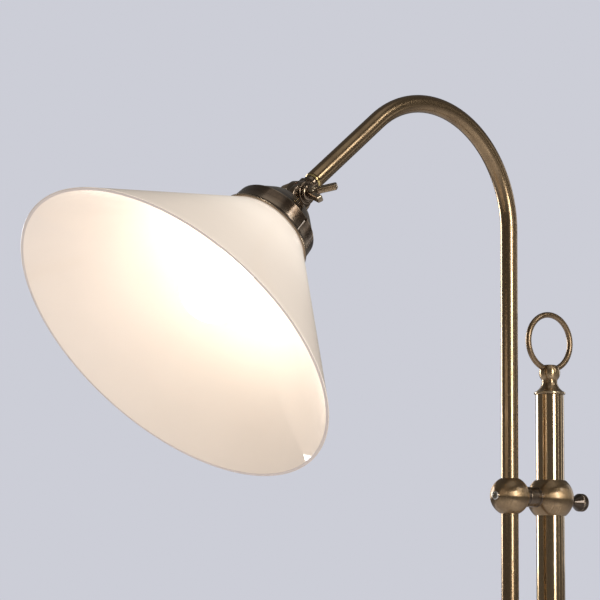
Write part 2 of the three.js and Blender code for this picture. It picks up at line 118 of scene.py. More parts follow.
def eased(profile, steps=4):
    """Rounds each corner that carries a third value, its radius. Returns (r, z, wear) triples."""
    corners = [Vector(point[:2]) for point in profile]
    radii = [point[2] if len(point) > 2 else 0 for point in profile]
    area = sum(a.cross(b) for a, b in zip(corners, corners[1:] + corners[:1]))
    way = 1 if area > 0 else -1
    out = []
    for i, (corner, radius) in enumerate(zip(corners, radii)):
        before = corners[i - 1] - corner
        after = corners[(i + 1) % len(corners)] - corner
        if radius <= 0 or min(before.length, after.length) < FLUSH:
            out.append((corner.x, corner.y, 0))
            continue
        turn = math.pi - before.angle(after)
        reach = min(radius * math.tan(turn / 2), before.length * 0.48, after.length * 0.48)
        start = corner + before.normalized() * reach
        end = corner + after.normalized() * reach
        convex = 1 if (-before).cross(after) * way > 0 else -1
        for k in range(steps + 1):
            t = k / steps
            point = start * (1 - t) ** 2 + corner * 2 * t * (1 - t) + end * t ** 2
            out.append((point.x, point.y, convex * (1 - abs(2 * t - 1) * 0.5)))
    return out


# ---- mesh makers -------------------------------------------------------------------------------

def new_object(name, bm, matrix=None, smooth=SMOOTH_ANGLE):
    bmesh.ops.remove_doubles(bm, verts=bm.verts, dist=1e-7)
    bmesh.ops.recalc_face_normals(bm, faces=bm.faces)
    mesh = bpy.data.meshes.new(name)
    bm.to_mesh(mesh)
    bm.free()
    obj = bpy.data.objects.new(name, mesh)
    bpy.context.scene.collection.objects.link(obj)
    if matrix is not None:
        obj.matrix_world = matrix
    smooth_by_angle(obj, smooth)
    return obj


def smooth_by_angle(obj, degrees):
    mesh = obj.data
    for polygon in mesh.polygons:
        polygon.use_smooth = True
    mesh.set_sharp_from_angle(angle=math.radians(degrees))


def skin(bm, rows, closed):
    """Joins neighbouring rows of vertices with quads, round each row and, if closed, end to start."""
    pairs = list(zip(rows, rows[1:]))
    if closed:
        pairs.append((rows[-1], rows[0]))
    sides = len(rows[0])
    for lower, upper in pairs:
        for j in range(sides):
            k = (j + 1) % sides
            bm.faces.new((lower[j], lower[k], upper[k], upper[j]))


def turning(name, profile, matrix=None, sides=96, ripple=None, smooth=SMOOTH_ANGLE):
    """Turns a profile about local Z. ripple = (teeth, depth, low, high) knurls the outside there."""
    points = eased(profile)
    bm = bmesh.new()
    wear_layer = bm.verts.layers.float.new("wear")
    if ripple:
        teeth, depth, ripple_low, ripple_high = ripple
        sides = teeth * 6
    rows = []
    for r, z, wear in points:
        row = []
        for j in range(sides):
            angle = 2 * math.pi * j / sides
            radius = r
            if ripple and ripple_low <= z <= ripple_high and r > 1:
                radius -= depth * (0.5 - 0.5 * math.cos(angle * teeth))
            vert = bm.verts.new((radius * MM * math.cos(angle), radius * MM * math.sin(angle), z * MM))
            vert[wear_layer] = wear
            row.append(vert)
        rows.append(row)
    skin(bm, rows, closed=points[0][0] > 0 or points[-1][0] > 0)
    return new_object(name, bm, matrix, smooth)


def tube(name, stations, outer, inner, sides=64):
    """A tube through (point, tangent, distance along) stations in the XZ plane, with open ends."""
    bm = bmesh.new()
    grain = bm.verts.layers.float_vector.new("grain")

    def ring(station, radius):
        point, tangent, along = station
        across = tangent.cross(Vector((0, 1, 0)))
        row = []
        for j in range(sides):
            angle = 2 * math.pi * j / sides
            c, s = radius * MM * math.cos(angle), radius * MM * math.sin(angle)
            vert = bm.verts.new(point + Vector((0, c, 0)) + across * s)
            vert[grain] = (c, s, along)
            row.append(vert)
        return row

    edge = 0.25
    first, last = stations[0], stations[-1]

    def slid(station, distance):
        return (station[0] + station[1] * distance * MM, station[1], station[2] + distance * MM)

    rows = [ring(first, inner + edge), ring(first, outer - edge), ring(slid(first, edge), outer)]
    rows += [ring(station, outer) for station in stations[1:-1]]
    rows += [ring(slid(last, -edge), outer), ring(last, outer - edge), ring(last, inner + edge)]
    rows += [ring(slid(last, -edge), inner)]
    rows += [ring(station, inner) for station in reversed(stations[1:-1])]
    rows += [ring(slid(first, edge), inner)]
    skin(bm, rows, closed=True)
    return new_object(name, bm)


def slab(name, outline, depth, round_off=0.0, matrix=None):
    """A flat outline of (x, z) points, with depth along Y, centred, with its edges rounded off."""
    bm = bmesh.new()
    front = [bm.verts.new((x * MM, -depth / 2 * MM, z * MM)) for x, z in outline]
    back = [bm.verts.new((x * MM, depth / 2 * MM, z * MM)) for x, z in outline]
    bm.faces.new(front)
    bm.faces.new(list(reversed(back)))
    for i in range(len(outline)):
        k = (i + 1) % len(outline)
        bm.faces.new((front[k], front[i], back[i], back[k]))
    if round_off:
        bmesh.ops.recalc_face_normals(bm, faces=bm.faces)
        rims = [edge for edge in bm.edges
                if all(v in front for v in edge.verts) or all(v in back for v in edge.verts)]
        bmesh.ops.bevel(bm, geom=rims, offset=round_off * MM, segments=4, profile=0.5, affect="EDGES")
    return new_object(name, bm, matrix)


def hexagon_bar(name, across, low, high, matrix=None):
    corners = [(across / math.sqrt(3), low), (across / math.sqrt(3), high)]
    return turning(name, [(0, low), *corners, (0, high)], matrix, sides=6, smooth=20)


def combined(obj, operation, others):
    """obj after a boolean with each of the others, which are used up."""
    for other in others:
        modifier = obj.modifiers.new(operation, "BOOLEAN")
        modifier.operation = operation
        modifier.solver = "EXACT"
        modifier.object = other
    bpy.context.view_layer.update()
    graph = bpy.context.evaluated_depsgraph_get()
    mesh = bpy.data.meshes.new_from_object(obj.evaluated_get(graph))
    obj.modifiers.clear()
    obj.data = mesh
    for other in others:
        bpy.data.objects.remove(other)
    smooth_by_angle(obj, SMOOTH_ANGLE)
    return obj


def joined(obj, *others):
    return combined(obj, "UNION", others)


def carved(obj, *others):
    return combined(obj, "DIFFERENCE", others)


def soften(obj, width, segments=3):
    """Rounds the piece's sharp edges with a bevel."""
    bevel = obj.modifiers.new("edges", "BEVEL")
    bevel.width = width * MM
    bevel.segments = segments
    bevel.limit_method = "ANGLE"
    bevel.angle_limit = math.radians(BEVEL_ANGLE)
    bevel.harden_normals = True
    return obj


def placed(obj, body, slot, *nodes):
    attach(obj, body)
    if nodes:
        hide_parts(*nodes)
    return obj


# ---- materials ---------------------------------------------------------------------------------

class Nodes:
    """A small helper that adds shader nodes to one material."""

    def __init__(self, name):
        self.material = bpy.data.materials.new(name)
        self.material.use_nodes = True
        self.tree = self.material.node_tree
        self.shader = self.tree.nodes["Principled BSDF"]

    def add(self, kind, **settings):
        node = self.tree.nodes.new(kind)
        for key, value in settings.items():
            setattr(node, key, value)
        return node

    def link(self, source, target):
        self.tree.links.new(source, target)

    def math(self, operation, a, b=0.0):
        node = self.add("ShaderNodeMath", operation=operation)
        for socket, value in zip(node.inputs, (a, b)):
            self.feed(socket, value)
        return node.outputs[0]

    def feed(self, socket, value):
        if isinstance(value, (int, float)):
            socket.default_value = value
        else:
            self.link(value, socket)

    def noise(self, vector, scale, detail=3.0, roughness=0.55):
        node = self.add("ShaderNodeTexNoise")
        node.inputs["Scale"].default_value = scale
        node.inputs["Detail"].default_value = detail
        node.inputs["Roughness"].default_value = roughness
        self.link(vector, node.inputs["Vector"])
        return node.outputs["Fac"]

    def scaled(self, vector, x, y, z):
        node = self.add("ShaderNodeVectorMath", operation="MULTIPLY")
        self.link(vector, node.inputs[0])
        node.inputs[1].default_value = (x, y, z)
        return node.outputs[0]

    def spread(self, value, low, high, to_low, to_high):
        node = self.add("ShaderNodeMapRange")
        node.inputs["From Min"].default_value = low
        node.inputs["From Max"].default_value = high
        node.inputs["To Min"].default_value = to_low
        node.inputs["To Max"].default_value = to_high
        self.link(value, node.inputs["Value"])
        return node.outputs["Result"]

    def mix(self, factor, a, b):
        node = self.add("ShaderNodeMix", data_type="RGBA")
        self.feed(node.inputs["Factor"], factor)
        for socket, value in ((node.inputs["A"], a), (node.inputs["B"], b)):
            if isinstance(value, tuple):
                socket.default_value = (*value, 1)
            else:
                self.link(value, socket)
        return node.outputs["Result"]

    def bump(self, height, distance, strength=1.0):
        node = self.add("ShaderNodeBump")
        node.inputs["Distance"].default_value = distance
        node.inputs["Strength"].default_value = strength
        self.link(height, node.inputs["Height"])
        self.link(node.outputs["Normal"], self.shader.inputs["Normal"])

    def attribute(self, name, output="Vector"):
        return self.add("ShaderNodeAttribute", attribute_name=name).outputs[output]

    def object_place(self):
        return self.add("ShaderNodeTexCoord").outputs["Object"]


def tool_marks(nodes, cut):
    """Marks left by the tool: round the axis on turned work, along the tube on drawn work."""
    if cut == "drawn":
        return nodes.scaled(nodes.attribute("grain"), 700, 700, 5)
    place = nodes.object_place()
    if cut == "cast":
        return nodes.scaled(place, 900, 900, 900)
    flat = nodes.add("ShaderNodeVectorMath", operation="LENGTH")
    nodes.link(nodes.scaled(place, 1, 1, 0), flat.inputs[0])
    parts = nodes.add("ShaderNodeSeparateXYZ")
    nodes.link(place, parts.inputs[0])
    rings = nodes.add("ShaderNodeCombineXYZ")
    nodes.link(nodes.math("MULTIPLY", parts.outputs["Z"], 2600), rings.inputs[0])
    nodes.link(nodes.math("MULTIPLY", flat.outputs["Value"], 2600), rings.inputs[1])
    nodes.link(nodes.math("MULTIPLY", parts.outputs["X"], 60), rings.inputs[2])
    return rings.outputs[0]


def metal(name, body, shade, rubbed, roughness, cut="turned", blur=0.0, marks=1.0, patina=0.6, lacquer=0.35):
    """A metal with tool marks, cloudy patina in its colour, dark corners and rubbed edges."""
    nodes = Nodes(name)
    shader = nodes.shader
    shader.inputs["Metallic"].default_value = 1.0
    line = nodes.noise(tool_marks(nodes, cut), 1.0, 1.0 if cut == "drawn" else 4.0, 0.6)
    place = nodes.attribute("grain") if cut == "drawn" else nodes.object_place()
    cloud = nodes.noise(place, 85, 5.0, 0.62)
    spots = nodes.noise(place, 420, 3.0, 0.5)
    clouded = nodes.mix(nodes.spread(cloud, 0.34, 0.68, 0, patina), body, shade)
    lined = nodes.mix(nodes.spread(line, 0.42, 0.72, 0, 0.35 * marks), clouded, shade)
    spotted = nodes.mix(nodes.spread(spots, 0.66, 0.74, 0, 0.4 * marks), lined, shade)
    wear = nodes.attribute("wear", "Fac")
    worn = nodes.mix(nodes.math("MULTIPLY", nodes.math("MAXIMUM", wear, 0.0), 0.55), spotted, rubbed)
    corner = nodes.math("MULTIPLY", nodes.math("MAXIMUM", nodes.math("MULTIPLY", wear, -1.0), 0.0), 0.75)
    nodes.link(nodes.mix(corner, worn, shade), shader.inputs["Base Color"])
    rough = nodes.math("ADD", nodes.spread(line, 0.3, 0.7, -0.05 * marks, 0.07 * marks),
                       nodes.spread(cloud, 0.3, 0.7, roughness - 0.04, roughness + 0.08))
    nodes.link(rough, shader.inputs["Roughness"])
    nodes.bump(line, 0.00002 * marks, 0.5)
    shader.inputs["Coat Weight"].default_value = lacquer
    shader.inputs["Coat Roughness"].default_value = 0.08
    if blur and cut == "turned":
        shader.inputs["Anisotropic"].default_value = blur
        shader.inputs["Anisotropic Rotation"].default_value = 0.25
        tangent = nodes.add("ShaderNodeTangent", direction_type="RADIAL", axis="Z")
        nodes.link(tangent.outputs[0], shader.inputs["Tangent"])
    return nodes.material


BULB_CENTRE = -96.5             # along the shade's axis
GLOW_REACH = 0.0535             # metres from the bulb's centre at which the glass is fully lit
GLOW_FALL = 2.6                 # power by which its light falls off beyond that


def opal(name, bulb):
    """White glass, lit from the bulb by painted light: its emission is a painted glow that falls off with the
    distance from the bulb, over a steady painted glow, stronger inside than outside and dimmed on the ground
    rim.
    """
    nodes = Nodes(name)
    shader = nodes.shader
    ground = nodes.attribute("ground", "Fac")
    nodes.link(nodes.mix(ground, (0.78, 0.685, 0.595), (0.74, 0.63, 0.56)), shader.inputs["Base Color"])
    shader.inputs["Roughness"].default_value = 0.04
    shader.inputs["IOR"].default_value = 1.5
    place = nodes.object_place()
    away = nodes.add("ShaderNodeVectorMath", operation="DISTANCE")
    nodes.link(place, away.inputs[0])
    away.inputs[1].default_value = (0, 0, bulb * MM)
    near = nodes.math("DIVIDE", GLOW_REACH, away.outputs["Value"])
    painted_bulb_light = nodes.math("POWER", near, GLOW_FALL)
    cloud = nodes.noise(place, 22, 3.0)
    inside = nodes.attribute("inside", "Fac")
    # painted glow: a steady level on each face plus the painted bulb light, stronger on the inside face
    outer = nodes.math("ADD", 0.17, nodes.math("MULTIPLY", painted_bulb_light, 0.27))
    inner = nodes.math("ADD", 0.11, nodes.math("MULTIPLY", painted_bulb_light, 0.6))
    glow = nodes.add("ShaderNodeMix", data_type="FLOAT")
    nodes.link(inside, glow.inputs["Factor"])
    nodes.link(outer, glow.inputs["A"])
    nodes.link(inner, glow.inputs["B"])
    even = nodes.math("MULTIPLY", glow.outputs["Result"], nodes.spread(cloud, 0.3, 0.7, 0.96, 1.04))
    # the ground rim face gets less of the painted glow
    strength = nodes.math("MULTIPLY", even, nodes.math("SUBTRACT", 1.0, nodes.math("MULTIPLY", ground, 0.75)))
    nodes.link(strength, shader.inputs["Emission Strength"])
    # colour of the painted glow, warmer away from the bulb
    warm = nodes.mix(nodes.math("MINIMUM", painted_bulb_light, 1.0), (1.0, 0.855, 0.72), (1.0, 0.91, 0.80))
    nodes.link(warm, shader.inputs["Emission Color"])
    nodes.bump(nodes.noise(place, 60, 2.0), 0.0002, 0.12)
    return nodes.material


def bulb_glass():
    nodes = Nodes("frosted_bulb")
    shader = nodes.shader
    shader.inputs["Base Color"].default_value = (0.95, 0.9, 0.8, 1)
    shader.inputs["Roughness"].default_value = 0.35
    frost = nodes.noise(nodes.object_place(), 900, 2.0)
    nodes.link(nodes.spread(frost, 0.3, 0.7, 2.3, 2.8), shader.inputs["Emission Strength"])
    shader.inputs["Emission Color"].default_value = (1.0, 0.9, 0.74, 1)
    nodes.bump(frost, 0.00002, 0.3)
    return nodes.material


def plain(name, colour, other, roughness, scale=500, depth=0.00004, metallic=0.0):
    """A moulded, woven or fired material: colour variation, roughness variation and a fine bump."""
    nodes = Nodes(name)
    shader = nodes.shader
    shader.inputs["Metallic"].default_value = metallic
    place = nodes.object_place()
    fine = nodes.noise(place, scale, 4.0)
    cloud = nodes.noise(place, scale / 12, 4.0)
    mottled = nodes.mix(nodes.spread(nodes.math("ADD", fine, cloud), 0.8, 1.2, 0, 1), colour, other)
    nodes.link(mottled, shader.inputs["Base Color"])
    nodes.link(nodes.spread(cloud, 0.3, 0.7, roughness - 0.06, roughness + 0.06), shader.inputs["Roughness"])
    nodes.bump(fine, depth, 0.6)
    return nodes.material


BRASS = (0.49, 0.35, 0.195)
BRASS_SHADE = (0.19, 0.125, 0.07)
BRASS_RUBBED = (0.78, 0.66, 0.47)
turned_brass = metal("turned_brass", BRASS, BRASS_SHADE, BRASS_RUBBED, 0.3, "turned", blur=0.85)
pole_brass = metal("pole_brass", BRASS, BRASS_SHADE, BRASS_RUBBED, 0.15, "turned",
                   blur=0.5, marks=0.4, patina=0.35, lacquer=0.8)
drawn_brass = metal("drawn_brass", (0.36, 0.25, 0.14), (0.15, 0.1, 0.06), BRASS_RUBBED, 0.22, "drawn",
                    marks=0.1, patina=0.45, lacquer=0.1)
ball_brass = metal("ball_brass", (0.40, 0.275, 0.15), BRASS_SHADE, BRASS_RUBBED, 0.3, "turned", blur=0.92)
loop_brass = metal("loop_brass", (0.30, 0.205, 0.115), BRASS_SHADE, BRASS_RUBBED, 0.33, "drawn", marks=0.08)
band_brass = metal("band_brass", (0.225, 0.155, 0.1), (0.06, 0.042, 0.03), (0.7, 0.58, 0.44), 0.2, "turned",
                   blur=0.6, patina=0.85)
bead_brass = metal("bead_brass", (0.16, 0.112, 0.075), (0.05, 0.035, 0.025), (0.6, 0.48, 0.34), 0.2, "cast",
                   marks=0.3)
cast_brass = metal("cast_brass", (0.22, 0.15, 0.095), (0.08, 0.055, 0.038), BRASS_RUBBED, 0.2, "cast",
                   marks=0.25)
dark_turned = metal("dark_turned", (0.12, 0.086, 0.058), (0.05, 0.035, 0.025), (0.4, 0.3, 0.2), 0.27,
                    "turned", blur=0.5)
dark_cast = metal("dark_cast", (0.15, 0.108, 0.076), (0.045, 0.032, 0.024), (0.5, 0.38, 0.26), 0.17, "cast",
                  marks=0.25)
bright_brass = metal("bright_brass", (0.93, 0.72, 0.28), (0.45, 0.3, 0.1), (0.95, 0.8, 0.45), 0.2, "turned",
                     marks=0.5)
bright_steel = metal("bright_steel", (0.78, 0.74, 0.66), (0.4, 0.36, 0.3), (0.95, 0.92, 0.85), 0.2, "turned",
                     marks=0.4)
steel = metal("zinc_steel", (0.55, 0.55, 0.56), (0.3, 0.3, 0.3), (0.7, 0.7, 0.7), 0.3, "turned", marks=0.6)
aluminium = metal("pressed_aluminium", (0.75, 0.75, 0.76), (0.5, 0.5, 0.5), (0.85, 0.85, 0.85), 0.25,
                  "turned", marks=0.5)
iron = plain("cast_iron", (0.09, 0.09, 0.095), (0.05, 0.05, 0.05), 0.7, 900, 0.0002, 0.8)
felt = plain("wool_felt", (0.045, 0.045, 0.045), (0.02, 0.02, 0.02), 0.95, 1400, 0.0004)
nylon = plain("nylon", (0.74, 0.71, 0.62), (0.68, 0.65, 0.56), 0.5)
phenolic = plain("black_phenolic", (0.018, 0.017, 0.016), (0.03, 0.028, 0.026), 0.32)
fibre = plain("vulcanised_fibre", (0.14, 0.035, 0.02), (0.2, 0.06, 0.035), 0.8)
porcelain = plain("porcelain", (0.82, 0.8, 0.75), (0.78, 0.76, 0.7), 0.2)
opal_glass = opal("opal_glass", BULB_CENTRE)
frosted = bulb_glass()


def finish(obj, *materials):
    obj.data.materials.clear()
    for material in materials:
        obj.data.materials.append(material)
    return obj


# ---- base --------------------------------------------------------------------------------------

def base_dome(inset, steps=20):
    """The cover's broad rise, from the step near its edge to the foot of the centre boss."""
    rise, foot, start, end = 8.4, 14.6, BASE_R - 13, 46
    return [(start - inset + (end - start) * i / steps,
             foot - inset + rise * math.sin(i / steps * math.pi / 2)) for i in range(steps + 1)]


def build_base():
    skin_t = 1.3
    top = BASE_HIGH.z / MM
    bore = POLE_R - TUBE_WALL
    outside = [(BASE_R, 1.2, 0.5), (BASE_R, 10, 4), (BASE_R - 11, 10.4, 1.2), (BASE_R - 12.4, 14.2, 1.4),
               *base_dome(0)[1:], (44.6, 26, 1.6), (33, 28, 3), (28, top, 1.6), (bore, top, 0.4)]
    inside = [(bore, top - skin_t, 0.2), (27.4, top - skin_t), (32.2, 26.8), (43.4, 24.8),
              *reversed(base_dome(skin_t)), (BASE_R - 12.4, 9), (BASE_R - 4.6, 8.7),
              (BASE_R - skin_t, 6), (BASE_R - skin_t, 1.2, 0.5)]
    cover = turning("base_cover_spun", outside + inside, sides=256)
    placed(finish(cover, turned_brass), "stand", "antique_brass", "base_cover")

    low = COLLAR_LOW.z / MM
    bore = POLE_R + CLEAR
    collar = turning("base_collar_turned", [
        (bore, low, 0.3), (24, low, 0.4), (24, low + 2.2, 0.5), (21.6, low + 2.6, 0.4),
        *arc(20.4, low + 5.6, 3.2, -60, 70),
        (19, low + 9, 0.5), (16, low + 11.6, 3), (13.8, low + 15.6, 3), (13.4, low + 18.6, 0.6),
        *arc(12.8, low + 21.2, 2.5, -75, 88, 14), (bore, low + 23.8, 0.3)], sides=160)
    placed(finish(collar, turned_brass), "stand", "antique_brass", "base_collar")


# ---- pole and finial ---------------------------------------------------------------------------

def build_pole():
    up = Vector((0, 0, 1))
    runs = 12
    heights = [POLE_LOW.z + (POLE_HIGH.z - POLE_LOW.z) * i / runs for i in range(runs + 1)]
    stations = [(Vector((0, 0, z)), up, z) for z in heights]
    pole = tube("main_pole", stations, POLE_R, POLE_R - TUBE_WALL, sides=96)
    placed(finish(pole, pole_brass), "stand", "antique_brass", "pole")


def build_finial():
    ring_r = 2.05 * MM
    ring_mid = (RING_HIGH.z - RING_LOW.z) / 2 - ring_r
    ring_rise = (RING_LOW.z + RING_HIGH.z) / 2 - POLE_HIGH.z
    spigot = POLE_R - TUBE_WALL - CLEAR
    body = turning("finial_turned", [
        (0, -14), (spigot, -14, 0.8), (spigot, CLEAR), (11, CLEAR, 0.35), (11.1, 1.5, 0.45),
        (10.2, 2.2, 0.3),
        (9.2, 2.6, 1.2), (7.4, 4.3, 3), (6.1, 6.3, 3), (5.4, 8.4, 2.2), (5.5, 9.9, 0.6),
        *arc(0, 15.6, 7.5, -42, 44, 22), (3.6, 21.3, 1.6), (0, 21.5)], POLE_TOP_FRAME, sides=128)
    ring_frame = POLE_TOP_FRAME @ Matrix.Translation((0, 0, ring_rise))
    seat = torus("ring_seat", ring_mid, ring_r + CLEAR * MM, ring_frame)
    carved(body, seat)
    placed(finish(body, turned_brass), "stand", "antique_brass", "finial")
    loop = torus("finial_loop", ring_mid, ring_r, ring_frame)
    placed(finish(loop, loop_brass), "stand", "antique_brass", "finial_ring")


def torus(name, middle, radius, matrix):
    """A ring of round wire in the XZ plane."""
    bm = bmesh.new()
    grain = bm.verts.layers.float_vector.new("grain")
    around, across = 144, 24
    rows = []
    for i in range(around):
        turn = 2 * math.pi * i / around
        out = Vector((math.cos(turn), 0, math.sin(turn)))
        row = []
        for j in range(across):
            angle = 2 * math.pi * j / across
            c, s = radius * math.cos(angle), radius * math.sin(angle)
            vert = bm.verts.new(out * (middle + c) + Vector((0, s, 0)))
            vert[grain] = (c, s, middle * math.sin(turn))
            row.append(vert)
        rows.append(row)
    skin(bm, rows, closed=True)
    return new_object(name, bm, matrix)


# ---- clamps ------------------------------------------------------------------------------------

POLE_BALL_R, ARM_BALL_R = 16.5, 13.7
POLE_BALL_HALF, ARM_BALL_HALF = 12.4, 12.1     # from the middle to the flats round the bore
POLE_PLAY, ARM_PLAY = 0.35, 0.25               # between a bore and its tube
SCREW_DROP = 2.2                               # of the thumbscrew below the ball's middle
GRUB_R, GRUB_PROUD, GRUB_KEY = 2.9, 1.6, 2.8   # the key is measured across its flats


def ball(name, radius, half, bore, centre):
    """A ball turned about the clamp's axis, bored for its tube, with a flat at each end of the bore."""
    matrix = Matrix.Translation(centre) @ ALONG_X
    body = turning(name, arc(0, 0, radius, -90, 90, 64), matrix, sides=128)
    upright = Matrix.Translation(centre)
    tube_way = [(0, -BEYOND), (bore, -BEYOND), (bore, BEYOND), (0, BEYOND)]
    cutters = [turning("bore", tube_way, upright, sides=96)]
    for low, high in ((half, BEYOND), (-BEYOND, -half)):
        cutter = [(0, low), (BEYOND, low), (BEYOND, high), (0, high)]
        cutters.append(turning("flat", cutter, upright, sides=32))
    carved(body, *cutters)
    return soften(body, 0.35)


def build_clamp(place):
    centre = Vector((0, 0, mid_height(f"{place}_pole_ball")))
    arm_centre = Vector((ARM_X, 0, centre.z))
    along = Matrix.Translation(centre) @ ALONG_X
    arm_along = Matrix.Translation(arm_centre) @ ALONG_X
    spacing = -ARM_X / MM

    pole_ball = ball(f"{place}_ball_on_pole", POLE_BALL_R, POLE_BALL_HALF, POLE_R + POLE_PLAY, centre)
    placed(finish(pole_ball, ball_brass), "arm", "antique_brass", f"{place}_pole_ball")

    arm_ball = ball(f"{place}_ball_on_arm", ARM_BALL_R, ARM_BALL_HALF, ARM_R + ARM_PLAY, arm_centre)
    seat = turning("seat", [(0, -20), (3.1, -20), (3.1, -8), (0, -8)], arm_along, sides=48)
    carved(arm_ball, seat)
    placed(finish(arm_ball, ball_brass), "arm", "antique_brass", f"{place}_arm_ball")

    neck = turning(f"{place}_neck_barrel", [
        (0, -spacing + 10), (7.1, -spacing + 10, 0.2), (7.1, -spacing + 14.2, 0.3),
        (6.7, -spacing + 14.6, 0.3),
        (6.7, -spacing + 15.4, 0.3), (7.1, -spacing + 15.8, 0.4), (7.1, -17.4, 0.4), (6.7, -17.0, 0.3),
        (6.7, -16.2, 0.3), (7.1, -15.8, 0.3), (7.1, -11), (0, -11)], along, sides=96)
    hollow = turning("hollow", arc(0, 0, ARM_BALL_R + 0.1, -90, 90, 48), arm_along, sides=96)
    other = turning("hollow", arc(0, 0, POLE_BALL_R + 0.1, -90, 90, 48), along, sides=96)
    carved(neck, hollow, other)
    placed(finish(neck, dark_turned), "arm", "antique_brass", f"{place}_neck")

    screw = turning(f"{place}_grub", [
        (0, -ARM_BALL_R - GRUB_PROUD), (GRUB_R, -ARM_BALL_R - GRUB_PROUD, 0.5), (GRUB_R, -8, 0.2), (0, -8)],
        arm_along, sides=64)
    socket = hexagon_bar("socket", GRUB_KEY, -ARM_BALL_R - 3, -ARM_BALL_R + 1.4, arm_along)
    soften(carved(screw, socket), 0.12, 2)
    placed(finish(screw, bright_steel), "arm", "steel", f"{place}_grub_screw")

    head = turning(f"{place}_thumb_knob", [
        (0, 11.3), (2.5, 11.3), (2.5, 17, 0.3), (2, 17.4, 0.2), (2.1, 23.8, 1.5), (5.9, 29.9, 0.5),
        (6.4, 30.5, 0.3),
        (6.4, 31.7), (6.4, 33.1), (6.4, 34.2, 0.7), (5.2, 35.3, 0.5), (4.2, 35.3, 0.2), (3.8, 34.9, 0.2),
        (0, 35.1)],
        along @ Matrix.Translation((SCREW_DROP * MM, 0, 0)), ripple=(40, 0.28, 30.3, 34))
    placed(finish(head, dark_turned), f"{place}_screw", "dark_brass", f"{place}_thumbscrew")


# ---- arm ---------------------------------------------------------------------------------------

def build_arm():
    up = Vector((0, 0, 1))
    stations = []
    runs = 8
    for i in range(runs):
        z = ARM_LOW.z + (BEND_Z - ARM_LOW.z) * i / runs
        stations.append((Vector((ARM_X, 0, z)), up, z))
    steps = 72
    centre = Vector((ARM_X - BEND_R * MM, 0, BEND_Z))
    for i in range(steps + 1):
        a = BEND_ANGLE * i / steps
        point = centre + Vector((math.cos(a), 0, math.sin(a))) * BEND_R * MM
        tangent = Vector((-math.sin(a), 0, math.cos(a)))
        stations.append((point, tangent, BEND_Z + BEND_R * MM * a))
    point, tangent, along = stations[-1]
    drop_runs = 3
    for i in range(1, drop_runs + 1):
        reach = DROP_LENGTH * MM * i / drop_runs
        stations.append((point + tangent * reach, tangent, along + reach))
    arm = tube("crook_tube", stations, ARM_R, ARM_R - TUBE_WALL)
    placed(finish(arm, drawn_brass), "arm", "antique_brass", "arm_tube")

    foot = ARM_LOW.z / MM
    bush = turning("cord_outlet", [
        (3.2, foot - 4.5, 1.0), (6.4, foot - 4.5, 1.2), (7.2, foot - 3, 0.8), (7.2, foot - CLEAR, 0.4),
        (4.5, foot - CLEAR), (4.5, foot + 16, 0.4), (3.2, foot + 16, 0.3)],
        Matrix.Translation((ARM_X, 0, 0)), sides=64)
    placed(finish(bush, phenolic), "arm", "black_plastic", "cord_bush")


# ---- knuckle -----------------------------------------------------------------------------------

LUG_R, LUG_INNER, LUG_OUTER = 7.6, 0.8, 6.2     # the two faces, counted from the middle plane
PIVOT_R = 2.5
WING_TURN = math.radians(-36)                   # of the wing screw's ears, about its axis
ARM_WEB = [(4.6, 1), (4.6, 10.4)]               # right half of each web, from the pivot outwards
SHADE_WEB = [(7.5, 0.6), (8.4, 2.2), (9.05, 4.4), (9.3, 6.6), (9.05, 8.6), (8.2, 10.3), (6.9, 11.5),
             (5.6, 12)]


def knuckle_half(name, matrix, neck, side, web_half):
    """A neck along local Z and a round lug beside the middle plane. side is 1 for +Y, -1 for -Y."""
    turn = matrix @ (ALONG_Y if side > 0 else AWAY_Y)
    body = turning(name, neck, matrix, sides=96)
    lug = turning("lug", [
        (PIVOT_R + CLEAR, LUG_INNER), (LUG_R, LUG_INNER, 0.3), (LUG_R, LUG_OUTER, 0.7),
        (6.4, LUG_OUTER, 0.25),
        (6.1, LUG_OUTER - 0.45, 0.2), (4.9, LUG_OUTER - 0.45, 0.2), (4.7, LUG_OUTER, 0.2),
        (PIVOT_R + CLEAR, LUG_OUTER)],
        turn, sides=96)
    outline = [(x, side * z) for x, z in web_half] + [(-x, side * z) for x, z in reversed(web_half)]
    middle = side * (LUG_OUTER + LUG_INNER - 0.1) / 2
    beside = matrix @ Matrix.Translation((0, middle * MM, 0))
    web = slab("web", outline, LUG_OUTER - LUG_INNER - 0.7, 1.1, beside)
    bore = turning("bore", [(0, -1), (PIVOT_R + CLEAR, -1), (PIVOT_R + CLEAR, 9), (0, 9)], turn, sides=64)
    return carved(joined(body, lug, web), bore)


